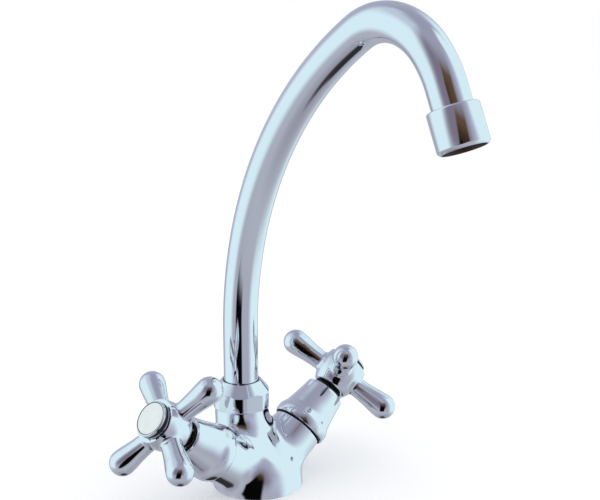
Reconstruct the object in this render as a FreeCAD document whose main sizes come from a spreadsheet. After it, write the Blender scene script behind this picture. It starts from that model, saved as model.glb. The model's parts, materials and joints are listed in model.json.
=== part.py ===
import FreeCAD, Part
import math
import os
import re
import Sketcher

# Two-handle swan-neck sink mixer, in millimetres.
# Origin: centre of the round foot on the worktop. +Z up, spout forward along -Y, handles along -X and +X.
# Every turned piece is drawn as half an outline of (radius, height) points about its own Z axis.

Vector = FreeCAD.Vector
Rotation = FreeCAD.Rotation
Placement = FreeCAD.Placement

doc = FreeCAD.newDocument("SinkMixer")
sheet = doc.addObject("Spreadsheet::Sheet", "Sizes")

SIZES = {
    # casting
    "base_radius": 25.4,
    "base_wall_height": 2.5,
    "base_edge_chamfer": 0.6,
    "neck_setback": 14.5,
    "neck_radius": 14.4,
    "neck_height": 43.2,
    "neck_foot_height": 38.0,
    "drum_height": 11.0,
    "drum_radius": 23.9,
    "shoulder_height": 18.0,
    "shoulder_radius": 22.0,
    "shoulder_setback": 2.6,
    "waist_height": 25.5,
    "waist_radius": 18.2,
    "waist_setback": 7.6,
    "throat_height": 32.0,
    "throat_radius": 15.6,
    "throat_setback": 12.2,
    "spigot_radius": 12.0,
    "spigot_length": 11.0,
    "neck_bore_radius": 9.0,
    "chamber_floor_height": 20.0,
    "arm_angle": 37.3,
    "arm_origin_height": 2.3,
    "arm_radius": 14.0,
    "seam_distance": 38.6,
    "valve_bore_radius": 9.6,
    "valve_seat_distance": 18.0,
    "seat_port_radius": 3.2,
    "seat_port_start": 12.0,
    "waterway_radius": 3.0,
    "waterway_distance": 25.0,
    "inlet_spacing": 19.0,
    "inlet_radius": 4.5,
    "inlet_depth": 9.0,
    "inlet_drill_radius": 3.0,
    "inlet_drill_depth": 13.0,
    "stud_radius": 3.4,
    "stud_depth": 12.0,
    "stud_setback": -14.0,
    "gasket_radius": 22.0,
    "gasket_width": 3.0,
    "gasket_thickness": 2.0,
    "drill_overshoot": 1.0,
    # spout union
    "thread_clearance": 0.05,
    "face_clearance": 0.05,
    "oring_gap": 0.03,
    "oring_groove_ratio": 1.2,
    "nut_height": 15.7,
    "nut_radius": 16.7,
    "nut_rim_radius": 11.5,
    "nut_cone_height": 6.5,
    "nut_chamfer": 0.8,
    "nut_across_flats": 31.7,
    "nut_turn_angle": -9.4,
    "nut_roof": 2.6,
    "nut_mouth_clearance": 0.5,
    "slip_ring_thickness": 0.9,
    "slip_ring_clearance": 0.08,
    "bush_clearance": 0.07,
    "bush_length": 22.0,
    "bush_flange_radius": 11.6,
    "bush_flange_thickness": 1.1,
    "bush_bore_radius": 6.4,
    "bush_tenon_length": 8.0,
    "spout_oring_section": 1.8,
    "spout_oring_low": 5.0,
    "spout_oring_high": 13.0,
    # spout
    "tube_radius": 10.0,
    "tube_wall": 1.0,
    "riser_top_height": 88.0,
    "sweep_radius": 207.7,
    "sweep_angle": 57.1,
    "crown_radius": 37.6,
    "crown_angle": 78.9,
    "drop_radius": 55.0,
    "drop_angle": 20.1,
    "drop_length": 9.7,
    "aerator_radius": 12.7,
    "aerator_length": 20.1,
    "aerator_shoulder": 0.8,
    "aerator_mouth_radius": 11.4,
    "aerator_mouth_chamfer": 1.5,
    "aerator_bore_radius": 10.6,
    "tube_socket_depth": 5.5,
    "socket_stop_radius": 8.8,
    "socket_stop_thickness": 1.5,
    "socket_clearance": 0.05,
    "washer_thickness": 2.0,
    "washer_bore_radius": 7.5,
    "screen_thickness": 0.6,
    "insert_thickness": 7.0,
    "insert_clearance": 0.1,
    "jet_hole_radius": 0.95,
    "jet_ring_inner": 3.4,
    "jet_ring_outer": 7.0,
    "jet_count_inner": 6,
    "jet_count_outer": 14,
    # valve, all distances along the arm axis from the arm origin
    "seal_thickness": 0.9,
    "seal_inner_radius": 12.3,
    "seal_outer_radius": 13.7,
    "shroud_rim_radius": 16.7,
    "shroud_rim_round": 0.9,
    "shroud_bead_height": 5.6,
    "shroud_sweep_height": 4.2,
    "shroud_sweep_radius": 8.0,
    "shroud_waist_radius": 14.7,
    "shroud_top_radius": 12.0,
    "shroud_top_chamfer": 0.9,
    "shroud_length": 27.6,
    "shroud_skirt_bore": 12.7,
    "shroud_cup_bore": 8.4,
    "shroud_web_start": 15.9,
    "shroud_web_thickness": 3.0,
    "headwork_flange_radius": 12.0,
    "headwork_flange_thickness": 3.5,
    "headwork_nose_radius": 8.0,
    "headwork_nose_length": 18.8,
    "headwork_seat_gap": 1.0,
    "headwork_oring_section": 1.6,
    "headwork_oring_offset": 4.0,
    "disc_chamber_radius": 8.0,
    "disc_chamber_depth": 11.0,
    "window_width": 7.0,
    "window_height": 3.0,
    "disc_clearance": 0.1,
    "disc_thickness": 3.0,
    "seat_seal_thickness": 3.0,
    "seat_seal_bore_radius": 4.2,
    "disc_port_radius": 1.9,
    "disc_port_offset": 4.4,
    "spindle_radius": 4.0,
    "spindle_clearance": 0.05,
    "spindle_foot_radius": 7.4,
    "spindle_foot_thickness": 2.6,
    "spindle_oring_section": 1.4,
    "spindle_oring_distance": 38.0,
    "circlip_radius": 6.0,
    "circlip_thickness": 1.0,
    "circlip_groove_depth": 0.7,
    "circlip_gap_angle": 40.0,
    # handle
    "hub_rear_distance": 64.0,
    "hub_stem_radius": 5.6,
    "hub_stem_length": 5.6,
    "hub_shoulder_radius": 9.6,
    "cross_distance": 80.0,
    "hub_belly_radius": 13.6,
    "hub_belly_offset": 2.5,
    "hub_front_distance": 88.9,
    "hub_front_radius": 12.4,
    "hub_pocket_radius": 8.0,
    "hub_pocket_depth": 4.9,
    "hub_web_thickness": 2.0,
    "arm_reach": 32.6,
    "arm_ball_radius": 7.5,
    "arm_taper_angle": 6.0,
    "arm_root_offset": 15.0,
    "arm_root_depth": 2.0,
    "arm_count": 4,
    "left_rest_angle": 57.0,
    "right_rest_angle": 41.0,
    "screw_hole_radius": 2.6,
    "screw_radius": 2.0,
    "screw_head_radius": 4.4,
    "screw_head_height": 2.7,
    "screw_length": 12.0,
    "screw_socket_flats": 4.0,
    "screw_socket_depth": 1.6,
    "ring_radius": 10.8,
    "ring_lip_radius": 10.2,
    "ring_height": 3.5,
    "ring_floor": 1.7,
    "ring_skirt_length": 2.0,
    "ring_skirt_wall": 1.1,
    "ring_clearance": 0.1,
    "index_radius": 9.2,
    "index_thickness": 1.9,
    "index_round": 0.6,
}

for row, (alias, value) in enumerate(SIZES.items(), start=1):
    sheet.set(f"A{row}", alias)
    sheet.set(f"B{row}", str(value))
    sheet.setAlias(f"B{row}", alias)
doc.recompute()


def cell(text):
    """The expression with every size name pointed at the sheet."""
    return re.sub("[a-z][a-z_]+", lambda word: "Sizes." + word[0] if word[0] in SIZES else word[0], text)


def number(text):
    """The expression's present value, as a plain number."""
    value = sheet.evalExpression(cell(text))
    return float(getattr(value, "Value", value))


def plane(body, role):
    return next(item for item in body.Origin.OriginFeatures if item.Role == role)


def new_body(label):
    body = doc.addObject("PartDesign::Body", label)
    body.Label = label
    return body


def new_sketch(body, label, role="XZ_Plane"):
    sketch = body.newObject("Sketcher::SketchObject", label)
    sketch.AttachmentSupport = [(plane(body, role), "")]
    sketch.MapMode = "FlatFace"
    return sketch


def pin(sketch, geometry, end, horizontal, vertical):
    """Holds one end of a sketch line at a place given by two expressions."""
    for kind, text in (("DistanceX", horizontal), ("DistanceY", vertical)):
        index = sketch.addConstraint(Sketcher.Constraint(kind, -1, 1, geometry, end, number(text)))
        sketch.setExpression(f"Constraints[{index}]", cell(text))


def outline(sketch, points):
    """A closed outline. A point is (across, up), or (across, up, radius) where an arc leads to it.
    A positive radius turns left on the way, a negative one right."""
    places = [Vector(number(point[0]), number(point[1]), 0) for point in points]
    edges = []
    for index, point in enumerate(points):
        start, end = places[index - 1], places[index]
        if len(point) == 2:
            edges.append(sketch.addGeometry(Part.LineSegment(start, end), False))
            continue
        radius = number(point[2])
        chord = end - start
        rise = math.sqrt(radius ** 2 - (chord.Length / 2) ** 2)
        side = Vector(-chord.y, chord.x, 0).normalize() * math.copysign(rise, radius)
        centre = (start + end) / 2 + side
        first, last = (start, end) if radius > 0 else (end, start)
        angles = [math.atan2((place - centre).y, (place - centre).x) for place in (first, last)]
        circle = Part.Circle(centre, Vector(0, 0, 1), abs(radius))
        edges.append(sketch.addGeometry(Part.ArcOfCircle(circle, *angles), False))
        held = sketch.addConstraint(Sketcher.Constraint("Radius", edges[-1], abs(radius)))
        sketch.setExpression(f"Constraints[{held}]", cell(f"abs({point[2]})"))
    for index, edge in enumerate(edges):
        leaving = edges[(index + 1) % len(edges)]
        end = 1 if len(points[index]) == 3 and number(points[index][2]) < 0 else 2
        following = points[(index + 1) % len(points)]
        begin = 2 if len(following) == 3 and number(following[2]) < 0 else 1
        sketch.addConstraint(Sketcher.Constraint("Coincident", edge, end, leaving, begin))
        pin(sketch, edge, end, points[index][0], points[index][1])


def turned(label, points, angle="360"):
    """A body turned about its own Z axis."""
    body = new_body(label)
    sketch = new_sketch(body, label + "_outline")
    outline(sketch, points)
    solid = body.newObject("PartDesign::Revolution", label + "_turning")
    solid.Profile = sketch
    solid.ReferenceAxis = (sketch, ["V_Axis"])
    solid.setExpression("Angle", cell(angle))
    doc.recompute()
    return body


def ring(label, inner, outer, low, high):
    return turned(label, [(inner, low), (outer, low), (outer, high), (inner, high)])


def oring(label, bore_radius, section):
    """An O-ring that just clears the bore round it."""
    torus = doc.addObject("Part::Torus", label)
    torus.Label = label
    torus.setExpression("Radius1", cell(f"{bore_radius} - oring_gap - {section} / 2"))
    torus.setExpression("Radius2", cell(f"{section} / 2"))
    return torus


def oring_groove(bore_radius, shaft_radius, section, middle):
    """The outline points of an O-ring's groove in the shaft inside that bore."""
    root = f"({bore_radius} - {section} - 2 * oring_gap)"
    low = f"({middle} - {section} * oring_groove_ratio / 2)"
    high = f"({middle} + {section} * oring_groove_ratio / 2)"
    return [(shaft_radius, low), (root, low), (root, high), (shaft_radius, high)]


def place(item, across="0", back="0", up="0", tilt="0", turn="0"):
    """Stands an item at a point, turned about its own Z axis and then tilted about Y."""
    item.setExpression("Placement", cell(
        f"create(<<placement>>; create(<<vector>>; {across}; {back}; {up}); "
        f"create(<<rotation>>; create(<<vector>>; 0; 1; 0); {tilt}) * "
        f"create(<<rotation>>; create(<<vector>>; 0; 0; 1); {turn}))"))


def rod(label, radius, length, **where):
    """A plain cylinder, used as a boss or as a drill."""
    item = doc.addObject("Part::Cylinder", label)
    item.setExpression("Radius", cell(radius))
    item.setExpression("Height", cell(length))
    place(item, **where)
    return item


def joined(label, items):
    result = doc.addObject("Part::MultiFuse", label)
    result.Shapes = items
    result.Refine = True
    return result


def cut(label, base, tools):
    result = doc.addObject("Part::Cut", label)
    result.Base = base
    result.Tool = tools[0] if len(tools) == 1 else joined(label + "_tools", tools)
    result.Refine = True
    result.Label = label
    return result


pieces = []


def keep(*items):
    pieces.extend(items)


SIDES = {"left": "-1", "right": "1"}


def on_arm(item, side, distance="0", turn="0"):
    """Puts a piece drawn about its own Z axis on that side's valve axis, that far out from the arm origin."""
    place(item, across=f"{SIDES[side]} * ({distance}) * cos(arm_angle * 1 deg)",
          up=f"arm_origin_height + ({distance}) * sin(arm_angle * 1 deg)",
          tilt=f"{SIDES[side]} * (90 - arm_angle)", turn=turn)
    return item


# ---- casting: foot, leaning waist, neck and two valve arms in one brass casting ----

SPIGOT_TOP = "(neck_height + spigot_length)"
ARM_END = "(seam_distance - seal_thickness)"
GASKET_INNER = "(gasket_radius - gasket_width / 2)"
GASKET_OUTER = "(gasket_radius + gasket_width / 2)"


def section_circle(label, radius, back, height):
    circle = doc.addObject("Part::Circle", label)
    circle.setExpression("Radius", cell(radius))
    place(circle, back=back, up=height)
    return circle


def casting():
    sections = [
        section_circle("foot_section", "base_radius", "0", "base_wall_height"),
        section_circle("drum_section", "drum_radius", "0", "drum_height"),
        section_circle("shoulder_section", "shoulder_radius", "shoulder_setback", "shoulder_height"),
        section_circle("waist_section", "waist_radius", "waist_setback", "waist_height"),
        section_circle("throat_section", "throat_radius", "throat_setback", "throat_height"),
        section_circle("neck_section", "neck_radius", "neck_setback", "neck_foot_height"),
    ]
    waist = doc.addObject("Part::Loft", "waist")
    waist.Sections = sections
    waist.Solid = True
    foot = turned("foot", [
        ("0", "0"),
        ("base_radius - base_edge_chamfer", "0"),
        ("base_radius", "base_edge_chamfer"),
        ("base_radius", "base_wall_height"),
        ("0", "base_wall_height"),
    ])
    neck = rod("neck", "neck_radius", "neck_height - neck_foot_height",
               back="neck_setback", up="neck_foot_height")
    spigot = rod("spigot", "spigot_radius", "spigot_length", back="neck_setback", up="neck_height")
    arms = [on_arm(rod(side + "_boss", "arm_radius", ARM_END), side) for side in SIDES]
    body = joined("casting_blank", [foot, waist, neck, spigot] + arms)

    drills = [
        rod("neck_bore", "neck_bore_radius", f"{SPIGOT_TOP} - chamber_floor_height + drill_overshoot",
            back="neck_setback", up="chamber_floor_height"),
        rod("stud_hole", "stud_radius", "stud_depth + drill_overshoot",
            back="stud_setback", up="-drill_overshoot"),
    ]
    below = doc.addObject("Part::Box", "worktop_trim")
    below.setExpression("Length", cell("4 * base_radius"))
    below.setExpression("Width", cell("4 * base_radius"))
    below.setExpression("Height", cell("base_radius"))
    place(below, across="-2 * base_radius", back="-2 * base_radius", up="-base_radius")
    drills.append(below)
    drills.append(ring("gasket_groove", GASKET_INNER, GASKET_OUTER, "-drill_overshoot", "gasket_thickness"))
    for side, sign in SIDES.items():
        bore = turned(side + "_valve_bore", [
            ("0", "seat_port_start"),
            ("seat_port_radius", "seat_port_start"),
            ("seat_port_radius", "valve_seat_distance"),
            ("valve_bore_radius", "valve_seat_distance"),
            ("valve_bore_radius", "seam_distance + drill_overshoot"),
            ("0", "seam_distance + drill_overshoot"),
        ])
        drills.append(on_arm(bore, side))
        drills.append(rod(side + "_inlet", "inlet_radius", "inlet_depth + drill_overshoot",
                          across=f"{sign} * inlet_spacing / 2", up="-drill_overshoot"))
        drills.append(rod(side + "_inlet_drill", "inlet_drill_radius", "inlet_drill_depth",
                          across=f"{sign} * inlet_spacing / 2"))
        drills.append(waterway(side))
    return cut("body_casting", body, drills)


def waterway(side):
    """Cross hole that leads the water from one valve bore to the chamber under the spout."""
    reach = number("waterway_distance")
    slope = math.radians(number("arm_angle"))
    sign = float(SIDES[side])
    start = Vector(sign * reach * math.cos(slope), 0, number("arm_origin_height") + reach * math.sin(slope))
    end = Vector(0, number("neck_setback"), number("chamber_floor_height + 2 * waterway_radius"))
    hole = doc.addObject("Part::Feature", side + "_waterway")
    hole.Shape = Part.makeCylinder(number("waterway_radius"), (end - start).Length, start, end - start)
    return hole


body_casting = casting()
base_gasket = ring("base_gasket", GASKET_INNER, GASKET_OUTER, "0", "gasket_thickness")
keep(body_casting, base_gasket)


# ---- union at the foot of the spout: hexagon collar nut, slip ring and the bush on the tube's end ----

FLANGE_LOW = f"({SPIGOT_TOP} + face_clearance)"
FLANGE_TOP = f"({FLANGE_LOW} + bush_flange_thickness)"
NUT_TOP = "(neck_height + nut_height)"
NUT_CEILING = f"({NUT_TOP} - nut_roof)"
BUSH_RADIUS = "(neck_bore_radius - bush_clearance)"
BUSH_FOOT = f"({SPIGOT_TOP} - bush_length)"
LOWER_ORING = f"({BUSH_FOOT} + spout_oring_low)"
UPPER_ORING = f"({BUSH_FOOT} + spout_oring_high)"


def collar_nut():
    turning = turned("nut_turning", [
        ("spigot_radius + thread_clearance", "neck_height"),
        ("nut_radius - nut_chamfer", "neck_height"),
        ("nut_radius", "neck_height + nut_chamfer"),
        ("nut_radius", f"{NUT_TOP} - nut_cone_height"),
        ("nut_rim_radius", NUT_TOP),
        ("tube_radius + nut_mouth_clearance", NUT_TOP),
        ("tube_radius + nut_mouth_clearance", NUT_CEILING),
        ("spigot_radius + thread_clearance", NUT_CEILING),
    ])
    hexagon = doc.addObject("Part::Prism", "nut_hexagon")
    hexagon.Polygon = 6
    hexagon.setExpression("Circumradius", cell("nut_across_flats / sqrt(3)"))
    hexagon.setExpression("Height", cell("nut_height"))
    place(hexagon, up="neck_height", turn="nut_turn_angle")
    nut = doc.addObject("Part::Common", "collar_nut")
    nut.Base = turning
    nut.Tool = hexagon
    nut.Label = "collar_nut"
    place(nut, back="neck_setback")
    return nut


def spout_bush():
    grooves = []
    for height in (LOWER_ORING, UPPER_ORING):
        grooves += oring_groove("neck_bore_radius", BUSH_RADIUS, "spout_oring_section", height)
    body = turned("spout_bush", [("bush_bore_radius", BUSH_FOOT), (BUSH_RADIUS, BUSH_FOOT)] + grooves + [
        (BUSH_RADIUS, FLANGE_LOW),
        ("bush_flange_radius", FLANGE_LOW),
        ("bush_flange_radius", FLANGE_TOP),
        ("tube_radius - tube_wall - socket_clearance", FLANGE_TOP),
        ("tube_radius - tube_wall - socket_clearance", f"{FLANGE_TOP} + bush_tenon_length"),
        ("bush_bore_radius", f"{FLANGE_TOP} + bush_tenon_length"),
    ])
    place(body, back="neck_setback")
    return body


def spout_oring(label, height):
    seal = oring(label, "neck_bore_radius", "spout_oring_section")
    place(seal, back="neck_setback", up=height)
    return seal


slip_ring = ring("slip_ring", "tube_radius + slip_ring_clearance", "bush_flange_radius",
                 f"{NUT_CEILING} - slip_ring_thickness", NUT_CEILING)
place(slip_ring, back="neck_setback")
keep(collar_nut(), slip_ring, spout_bush())
keep(spout_oring("spout_oring_lower", LOWER_ORING), spout_oring("spout_oring_upper", UPPER_ORING))


# ---- spout: one bent tube, drawn in the YZ plane from the bush flange to the aerator ----

BENDS = [("sweep_radius", "sweep_angle"), ("crown_radius", "crown_angle"), ("drop_radius", "drop_angle")]


def spout_path():
    """Points and heading along the centreline: riser top, end of each arc, and the aerator's upper face."""
    forward, height, heading = 0.0, number("riser_top_height"), 0.0
    stations = [(forward, height, heading)]
    for radius_name, angle_name in BENDS:
        radius, turn = number(radius_name), math.radians(number(angle_name))
        forward += radius * (math.cos(heading) - math.cos(heading + turn))
        height += radius * (math.sin(heading + turn) - math.sin(heading))
        heading += turn
        stations.append((forward, height, heading))
    forward += number("drop_length") * math.sin(heading)
    height += number("drop_length") * math.cos(heading)
    stations.append((forward, height, heading))
    return stations


def spout_tube():
    body = new_body("spout_tube")
    path = new_sketch(body, "spout_centreline", "YZ_Plane")
    stations = spout_path()
    start = number(FLANGE_TOP)
    riser = path.addGeometry(Part.LineSegment(Vector(0, start, 0), Vector(0, stations[0][1], 0)), False)
    path.addConstraint(Sketcher.Constraint("Vertical", riser))
    pin(path, riser, 1, "0", FLANGE_TOP)
    top = path.addConstraint(Sketcher.Constraint("DistanceY", -1, 1, riser, 2, stations[0][1]))
    path.setExpression(f"Constraints[{top}]", cell("riser_top_height"))
    last = riser
    for (forward, height, heading), (radius_name, angle_name) in zip(stations, BENDS):
        radius, turn = number(radius_name), math.radians(number(angle_name))
        centre = Vector(-forward - radius * math.cos(heading), height - radius * math.sin(heading), 0)
        circle = Part.Circle(centre, Vector(0, 0, 1), radius)
        arc = path.addGeometry(Part.ArcOfCircle(circle, heading, heading + turn), False)
        path.addConstraint(Sketcher.Constraint("Tangent", last, 2, arc, 1))
        held = path.addConstraint(Sketcher.Constraint("Radius", arc, radius))
        path.setExpression(f"Constraints[{held}]", cell(radius_name))
        swept = path.addConstraint(Sketcher.Constraint("Angle", arc, turn))
        path.setExpression(f"Constraints[{swept}]", cell(f"{angle_name} * 1 deg"))
        last = arc
    forward, height, heading = stations[-2]
    length = number("drop_length + tube_socket_depth")
    begin = Vector(-forward, height, 0)
    drop = path.addGeometry(
        Part.LineSegment(begin, begin + Vector(-math.sin(heading), math.cos(heading), 0) * length), False)
    path.addConstraint(Sketcher.Constraint("Tangent", last, 2, drop, 1))
    held = path.addConstraint(Sketcher.Constraint("Distance", drop, length))
    path.setExpression(f"Constraints[{held}]", cell("drop_length + tube_socket_depth"))

    profile = new_sketch(body, "spout_section", "XY_Plane")
    profile.setExpression("AttachmentOffset.Base.z", cell(FLANGE_TOP))
    for radius in ("tube_radius", "tube_radius - tube_wall"):
        circle = profile.addGeometry(Part.Circle(Vector(0, 0, 0), Vector(0, 0, 1), number(radius)), False)
        profile.addConstraint(Sketcher.Constraint("Coincident", circle, 3, -1, 1))
        held = profile.addConstraint(Sketcher.Constraint("Radius", circle, number(radius)))
        profile.setExpression(f"Constraints[{held}]", cell(radius))
    doc.recompute()
    pipe = body.newObject("PartDesign::AdditivePipe", "spout_pipe")
    pipe.Profile = profile
    pipe.Spine = path
    doc.recompute()
    place(body, back="neck_setback")
    return body


keep(spout_tube())


# ---- aerator: housing brazed on the tube's end, with washer, screen and jet insert inside it ----

INSERT_RADIUS = "(aerator_bore_radius - insert_clearance)"
STOP_LOW = "(tube_socket_depth + socket_stop_thickness)"
SCREEN_LOW = f"({STOP_LOW} + washer_thickness)"
INSERT_LOW = f"({SCREEN_LOW} + screen_thickness)"


def at_outlet(item):
    """Hangs a piece drawn about its own Z axis on the spout's end, with +Z out of the spout."""
    forward, height, heading = spout_path()[-1]
    item.Placement = Placement(Vector(0, number("neck_setback") - forward, height),
                               Rotation(Vector(1, 0, 0), math.degrees(heading)))
    return item


def jet_insert():
    body = turned("aerator_insert", [
        ("0", INSERT_LOW),
        (INSERT_RADIUS, INSERT_LOW),
        (INSERT_RADIUS, f"{INSERT_LOW} + insert_thickness"),
        ("0", f"{INSERT_LOW} + insert_thickness"),
    ])
    for ring_name, copies in (("jet_ring_inner", "jet_count_inner"), ("jet_ring_outer", "jet_count_outer")):
        sketch = new_sketch(body, ring_name + "_hole", "XY_Plane")
        circle = sketch.addGeometry(
            Part.Circle(Vector(number(ring_name), 0, 0), Vector(0, 0, 1), number("jet_hole_radius")), False)
        pin(sketch, circle, 3, ring_name, "0")
        held = sketch.addConstraint(Sketcher.Constraint("Radius", circle, number("jet_hole_radius")))
        sketch.setExpression(f"Constraints[{held}]", cell("jet_hole_radius"))
        doc.recompute()
        pocket = body.newObject("PartDesign::Pocket", ring_name + "_jet")
        pocket.Profile = sketch
        pocket.Type = "ThroughAll"
        pocket.Midplane = True
        doc.recompute()
        pattern = body.newObject("PartDesign::PolarPattern", ring_name + "_jets")
        pattern.Originals = [pocket]
        pattern.Axis = (plane(body, "Z_Axis"), [""])
        pattern.Angle = 360
        pattern.setExpression("Occurrences", cell(copies))
        body.Tip = pattern
        doc.recompute()
    return body


housing = turned("aerator_housing", [
    ("tube_radius + socket_clearance", "0"),
    ("aerator_radius - aerator_shoulder", "0"),
    ("aerator_radius", "aerator_shoulder"),
    ("aerator_radius", "aerator_length - aerator_mouth_chamfer"),
    ("aerator_mouth_radius", "aerator_length"),
    ("aerator_bore_radius", "aerator_length"),
    ("aerator_bore_radius", STOP_LOW),
    ("socket_stop_radius", STOP_LOW),
    ("socket_stop_radius", "tube_socket_depth + socket_clearance"),
    ("tube_radius + socket_clearance", "tube_socket_depth + socket_clearance"),
])
washer = ring("aerator_washer", "washer_bore_radius", INSERT_RADIUS, STOP_LOW, SCREEN_LOW)
screen = turned("aerator_screen", [("0", SCREEN_LOW), (INSERT_RADIUS, SCREEN_LOW),
                                   (INSERT_RADIUS, INSERT_LOW), ("0", INSERT_LOW)])
keep(*[at_outlet(item) for item in (housing, washer, screen, jet_insert())])


# ---- valves: on each arm a headwork with its discs and spindle, under a bell-shaped shroud ----

HEADWORK_FOOT = "(valve_seat_distance + headwork_seat_gap)"
HEADWORK_RADIUS = "(valve_bore_radius - disc_clearance)"
HEADWORK_ORING = f"({ARM_END} - headwork_oring_offset)"
FLANGE_FRONT = f"({ARM_END} + headwork_flange_thickness)"
NOSE_END = f"({FLANGE_FRONT} + headwork_nose_length)"
DISC_RADIUS = "(disc_chamber_radius - disc_clearance)"
FIXED_LOW = "(valve_seat_distance + seat_seal_thickness)"
MOVING_LOW = f"({FIXED_LOW} + disc_thickness + face_clearance)"
SPINDLE_FOOT = f"({MOVING_LOW} + disc_thickness)"
CHAMBER_TOP = f"({HEADWORK_FOOT} + disc_chamber_depth)"
SPINDLE_BORE = "(spindle_radius + spindle_clearance)"
CIRCLIP_LOW = f"({NOSE_END} + face_clearance)"
WEB_FRONT = "(hub_front_distance - hub_pocket_depth)"
WEB_REAR = f"({WEB_FRONT} - hub_web_thickness)"
SHROUD_TOP = "(seam_distance + shroud_length)"
WEB_START = "(seam_distance + shroud_web_start)"
WEB_STOP = f"({WEB_START} + shroud_web_thickness)"


def shroud(side):
    bead_top = "(seam_distance + shroud_bead_height)"
    sweep_top = f"({bead_top} + shroud_sweep_height)"
    return on_arm(turned(side + "_shroud", [
        ("shroud_skirt_bore", "seam_distance"),
        ("shroud_rim_radius - shroud_rim_round", "seam_distance"),
        ("shroud_rim_radius", "seam_distance + shroud_rim_round"),
        ("shroud_rim_radius", bead_top),
        ("shroud_waist_radius", sweep_top, "-shroud_sweep_radius"),
        ("shroud_top_radius", f"{SHROUD_TOP} - shroud_top_chamfer"),
        ("shroud_top_radius - shroud_top_chamfer", SHROUD_TOP),
        ("shroud_cup_bore", SHROUD_TOP),
        ("shroud_cup_bore", WEB_STOP),
        ("headwork_nose_radius + thread_clearance", WEB_STOP),
        ("headwork_nose_radius + thread_clearance", WEB_START),
        ("shroud_cup_bore", WEB_START),
        ("shroud_skirt_bore", bead_top),
    ]), side)


def headwork(side):
    blank = turned(side + "_headwork_turning", [
        ("disc_chamber_radius", HEADWORK_FOOT),
        (HEADWORK_RADIUS, HEADWORK_FOOT),
    ] + oring_groove("valve_bore_radius", HEADWORK_RADIUS, "headwork_oring_section", HEADWORK_ORING) + [
        (HEADWORK_RADIUS, ARM_END),
        ("headwork_flange_radius", ARM_END),
        ("headwork_flange_radius", FLANGE_FRONT),
        ("headwork_nose_radius", FLANGE_FRONT),
        ("headwork_nose_radius", NOSE_END),
        (SPINDLE_BORE, NOSE_END),
        (SPINDLE_BORE, CHAMBER_TOP),
        ("disc_chamber_radius", CHAMBER_TOP),
    ])
    through = "2 * (valve_bore_radius + drill_overshoot)"
    windows = []
    for name, across, along in (("_window", through, "window_width"),
                                ("_cross_window", "window_width", through)):
        window = doc.addObject("Part::Box", side + name)
        window.setExpression("Length", cell(across))
        window.setExpression("Width", cell(along))
        window.setExpression("Height", cell("window_height"))
        place(window, across=f"-({across}) / 2", back=f"-({along}) / 2",
              up=f"{MOVING_LOW} - window_height / 2")
        windows.append(window)
    return on_arm(cut(side + "_headwork", blank, windows), side)


def disc(label, low, side, across="0", back="0"):
    """Ceramic disc with two round ports, one at each side of its centre."""
    high = f"({low} + disc_thickness)"
    blank = turned(label + "_blank", [("0", low), (DISC_RADIUS, low), (DISC_RADIUS, high), ("0", high)])
    ports = []
    for name, sign in (("_first_port", "-1"), ("_second_port", "1")):
        ports.append(rod(label + name, "disc_port_radius", "disc_thickness + 2 * drill_overshoot",
                         across=f"{sign} * {across}", back=f"{sign} * {back}", up=f"{low} - drill_overshoot"))
    return on_arm(cut(label, blank, ports), side)


def spindle(side):
    clip_root = "(spindle_radius - circlip_groove_depth)"
    clip_high = f"({CIRCLIP_LOW} + circlip_thickness + face_clearance)"
    tapped = f"({WEB_FRONT} - screw_length - drill_overshoot)"
    return on_arm(turned(side + "_spindle", [
        ("0", SPINDLE_FOOT),
        ("spindle_foot_radius", SPINDLE_FOOT),
        ("spindle_foot_radius", f"{SPINDLE_FOOT} + spindle_foot_thickness"),
        ("spindle_radius", f"{SPINDLE_FOOT} + spindle_foot_thickness"),
    ] + oring_groove(SPINDLE_BORE, "spindle_radius", "spindle_oring_section", "spindle_oring_distance") + [
        ("spindle_radius", CIRCLIP_LOW),
        (clip_root, CIRCLIP_LOW),
        (clip_root, clip_high),
        ("spindle_radius", clip_high),
        ("spindle_radius", WEB_REAR),
        ("screw_radius + thread_clearance", WEB_REAR),
        ("screw_radius + thread_clearance", tapped),
        ("0", tapped),
    ]), side)


def circlip(side):
    inner = "(spindle_radius - circlip_groove_depth + face_clearance)"
    high = f"({CIRCLIP_LOW} + circlip_thickness)"
    return on_arm(turned(side + "_circlip", [
        (inner, CIRCLIP_LOW),
        ("circlip_radius", CIRCLIP_LOW),
        ("circlip_radius", high),
        (inner, high),
    ], angle="360 - circlip_gap_angle"), side)


def valve(side):
    arm_seal = ring(side + "_shroud_seal", "seal_inner_radius", "seal_outer_radius", ARM_END, "seam_distance")
    bore_seal = oring(side + "_headwork_oring", "valve_bore_radius", "headwork_oring_section")
    seat_seal = ring(side + "_seat_seal", "seat_seal_bore_radius", DISC_RADIUS,
                     "valve_seat_distance", FIXED_LOW)
    packing = oring(side + "_spindle_oring", SPINDLE_BORE, "spindle_oring_section")
    keep(on_arm(arm_seal, side), shroud(side), headwork(side))
    keep(on_arm(bore_seal, side, HEADWORK_ORING), on_arm(seat_seal, side))
    keep(disc(side + "_fixed_disc", FIXED_LOW, side, across="disc_port_offset"))
    keep(disc(side + "_moving_disc", MOVING_LOW, side, back="disc_port_offset"))
    keep(spindle(side), on_arm(packing, side, "spindle_oring_distance"), circlip(side))


# ---- handles: cast cross with four ball-ended arms, its screw, and the index button over the screw ----

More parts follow.
